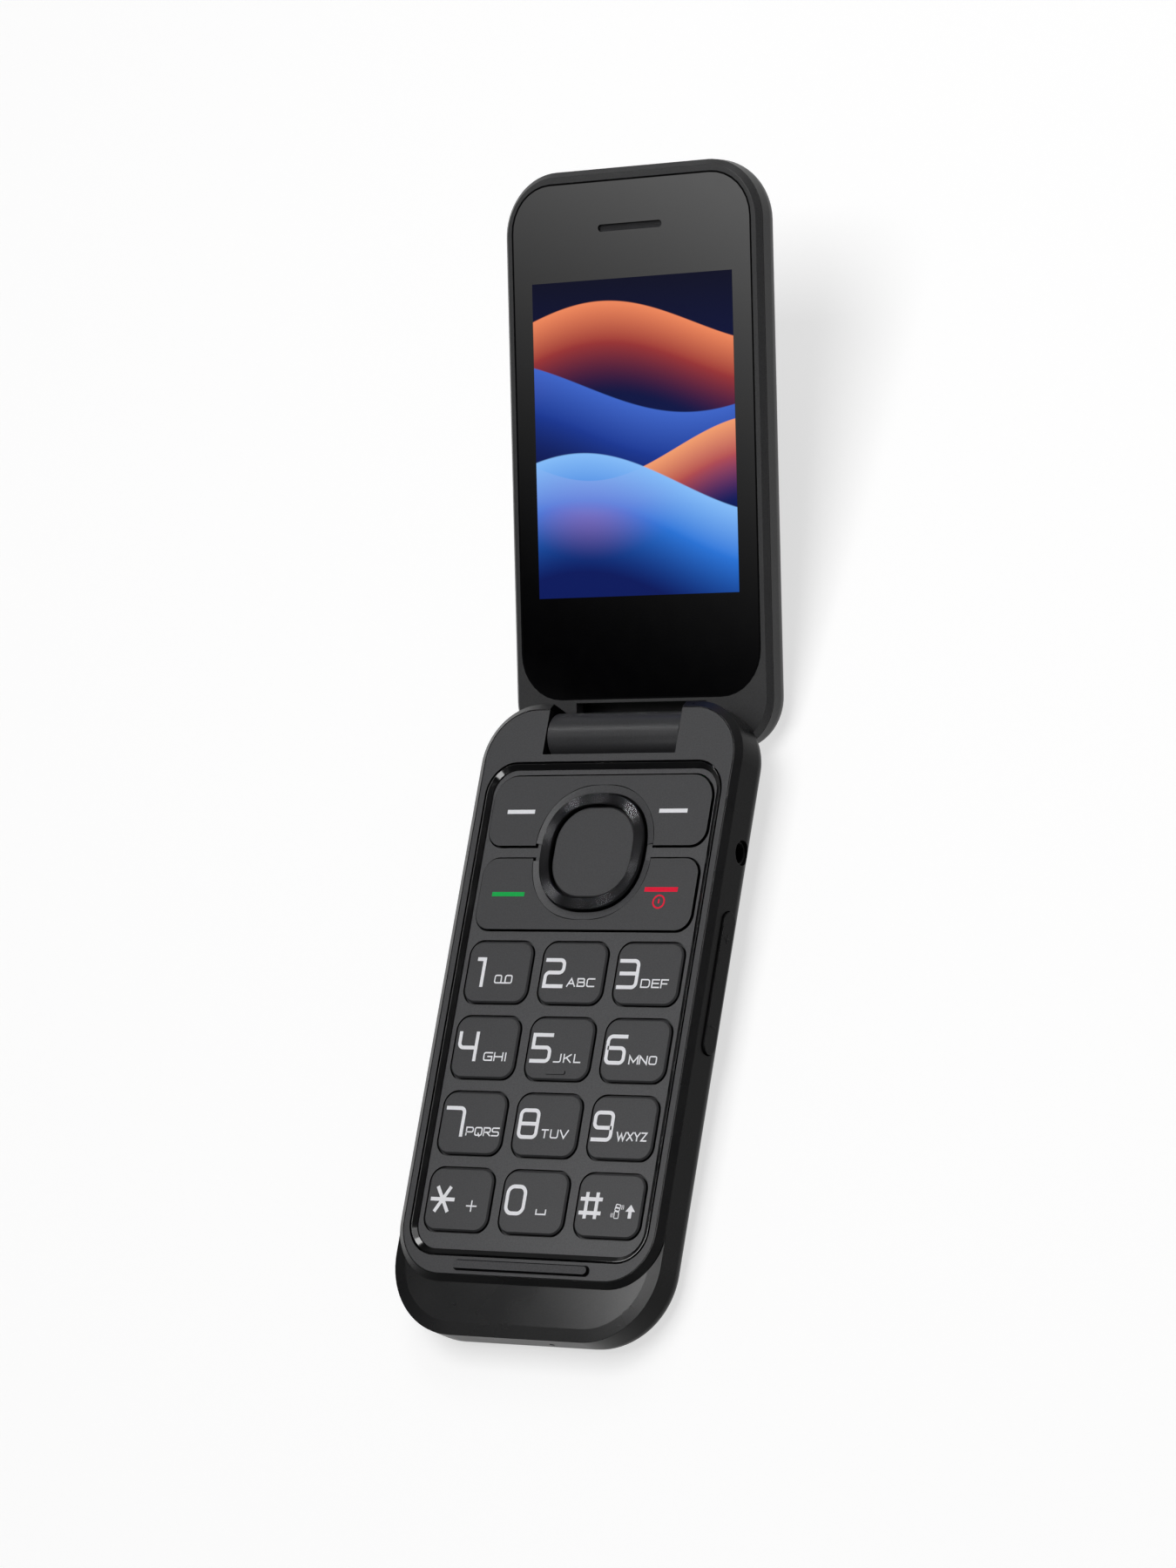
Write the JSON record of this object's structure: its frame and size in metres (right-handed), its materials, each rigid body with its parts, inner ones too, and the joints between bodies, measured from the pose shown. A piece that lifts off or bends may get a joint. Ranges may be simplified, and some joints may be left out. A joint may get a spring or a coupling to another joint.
{
  "type": "clamshell mobile phone",
  "caption": "Folding mobile phone, lid open: number keypad with a gloss navigation ring, barrel hinge, and a lid with an inner display, earpiece, outer window and camera.",
  "frame": {"origin": "middle of the flat back of the base", "axes": "+X to the right of the keypad's reader, +Y along the base towards the hinge, +Z out of the keypad"},
  "size_m": [0.0558, 0.2097, 0.0402],
  "materials": {
    "black_plastic": "fine matt moulded texture, satin on the chin",
    "grey_plate": "soft-touch dark grey",
    "key_plastic": "soft-touch dark grey with printed legends",
    "gloss_black": "polished black",
    "rubber": "dull black",
    "steel": "plated",
    "circuit_board": "solder-resist green",
    "lens": "polished, black-printed border",
    "display": "dark panel",
    "battery_wrap": "printed film",
    "gold_contact": "gold-plated",
    "copper_foil": "bare foil",
    "lamp": "clear lens over a yellow phosphor"
  },
  "bodies": {
    "base": {"base_housing": "black_plastic", "front_cover": "grey_plate", "battery_cover": "black_plastic", "keypad_trim": "gloss_black", "keypad_panel": "grey_plate", "keypad_mat": "rubber", "key_domes": "steel", "main_board": "circuit_board", "shield_can": "steel", "sim_socket": "steel", "battery": "battery_wrap", "battery_contacts": "gold_contact", "usb_port": "steel", "headset_socket": "gloss_black", "loudspeaker": "black_plastic", "microphone": "steel", "vibration_motor": "steel", "antenna_strip": "copper_foil", "volume_switch": "circuit_board", "housing_screws": "steel", "lid_bumper": "rubber", "hinge_cam_shaft": "steel", "hinge_pivot": "steel"},
    "lid": {"lid_frame": "black_plastic", "lid_rear_cover": "black_plastic", "display_lens": "lens", "display_panel": "display", "lid_board": "circuit_board", "earpiece": "black_plastic", "earpiece_mesh": "steel", "outer_window": "lens", "outer_display": "display", "camera_module": "gloss_black", "flash_lamp": "lamp", "lid_magnet": "steel", "lid_screws": "steel", "hinge_barrel": "black_plastic", "hinge_cartridge": "steel"},
    "key_1": {"key_1": "key_plastic"},
    "key_2": {"key_2": "key_plastic"},
    "key_3": {"key_3": "key_plastic"},
    "key_4": {"key_4": "key_plastic"},
    "key_5": {"key_5": "key_plastic"},
    "key_6": {"key_6": "key_plastic"},
    "key_7": {"key_7": "key_plastic"},
    "key_8": {"key_8": "key_plastic"},
    "key_9": {"key_9": "key_plastic"},
    "key_star": {"key_star": "key_plastic"},
    "key_0": {"key_0": "key_plastic"},
    "key_hash": {"key_hash": "key_plastic"},
    "soft_key_bar": {"soft_key_bar": "key_plastic"},
    "call_key_bar": {"call_key_bar": "key_plastic"},
    "navigation_pad": {"navigation_pad": "rubber"},
    "navigation_ring": {"navigation_ring": "gloss_black"},
    "select_key": {"select_key": "key_plastic"},
    "volume_key": {"volume_key": "black_plastic"}
  },
  "joints": [
    {"name": "lid_hinge", "type": "hinge", "parent": "base", "child": "lid", "pos_m": [0, 0.05255, 0.0057], "axis": [1, 0, 0], "range_deg": [0, 160.5]},
    {"name": "key_1_press", "type": "slide", "parent": "base", "child": "key_1", "axis": [0, 0, -1], "range_m": [0, 0.0003], "stiffness_N_per_m": 1000},
    {"name": "key_2_press", "type": "slide", "parent": "base", "child": "key_2", "axis": [0, 0, -1], "range_m": [0, 0.0003], "stiffness_N_per_m": 1000},
    {"name": "key_3_press", "type": "slide", "parent": "base", "child": "key_3", "axis": [0, 0, -1], "range_m": [0, 0.0003], "stiffness_N_per_m": 1000},
    {"name": "key_4_press", "type": "slide", "parent": "base", "child": "key_4", "axis": [0, 0, -1], "range_m": [0, 0.0003], "stiffness_N_per_m": 1000},
    {"name": "key_5_press", "type": "slide", "parent": "base", "child": "key_5", "axis": [0, 0, -1], "range_m": [0, 0.0003], "stiffness_N_per_m": 1000},
    {"name": "key_6_press", "type": "slide", "parent": "base", "child": "key_6", "axis": [0, 0, -1], "range_m": [0, 0.0003], "stiffness_N_per_m": 1000},
    {"name": "key_7_press", "type": "slide", "parent": "base", "child": "key_7", "axis": [0, 0, -1], "range_m": [0, 0.0003], "stiffness_N_per_m": 1000},
    {"name": "key_8_press", "type": "slide", "parent": "base", "child": "key_8", "axis": [0, 0, -1], "range_m": [0, 0.0003], "stiffness_N_per_m": 1000},
    {"name": "key_9_press", "type": "slide", "parent": "base", "child": "key_9", "axis": [0, 0, -1], "range_m": [0, 0.0003], "stiffness_N_per_m": 1000},
    {"name": "key_star_press", "type": "slide", "parent": "base", "child": "key_star", "axis": [0, 0, -1], "range_m": [0, 0.0003], "stiffness_N_per_m": 1000},
    {"name": "key_0_press", "type": "slide", "parent": "base", "child": "key_0", "axis": [0, 0, -1], "range_m": [0, 0.0003], "stiffness_N_per_m": 1000},
    {"name": "key_hash_press", "type": "slide", "parent": "base", "child": "key_hash", "axis": [0, 0, -1], "range_m": [0, 0.0003], "stiffness_N_per_m": 1000},
    {"name": "select_key_press", "type": "slide", "parent": "base", "child": "select_key", "axis": [0, 0, -1], "range_m": [0, 0.0003], "stiffness_N_per_m": 1000},
    {"name": "soft_key_rock", "type": "hinge", "parent": "base", "child": "soft_key_bar", "pos_m": [0, 0.03747, 0.0082], "axis": [0, 1, 0], "range_deg": [-0.8, 0.8], "stiffness_Nm_per_rad": 1.5},
    {"name": "call_key_rock", "type": "hinge", "parent": "base", "child": "call_key_bar", "pos_m": [0, 0.02202, 0.0082], "axis": [0, 1, 0], "range_deg": [-0.8, 0.8], "stiffness_Nm_per_rad": 1.5},
    {"name": "navigation_left_right", "type": "hinge", "parent": "base", "child": "navigation_pad", "pos_m": [0, 0.02977, 0.0079], "axis": [0, 1, 0], "range_deg": [-1.3, 1.3], "stiffness_Nm_per_rad": 1.5},
    {"name": "navigation_up_down", "type": "hinge", "parent": "navigation_pad", "child": "navigation_ring", "pos_m": [0, 0.02977, 0.0079], "axis": [1, 0, 0], "range_deg": [-1.3, 1.3], "stiffness_Nm_per_rad": 1.5},
    {"name": "volume_rock", "type": "hinge", "parent": "base", "child": "volume_key", "pos_m": [0.0254, 0.00725, 0.0053], "axis": [0, 0, 1], "range_deg": [-1.2, 1.2], "stiffness_Nm_per_rad": 1.5}
  ]
}
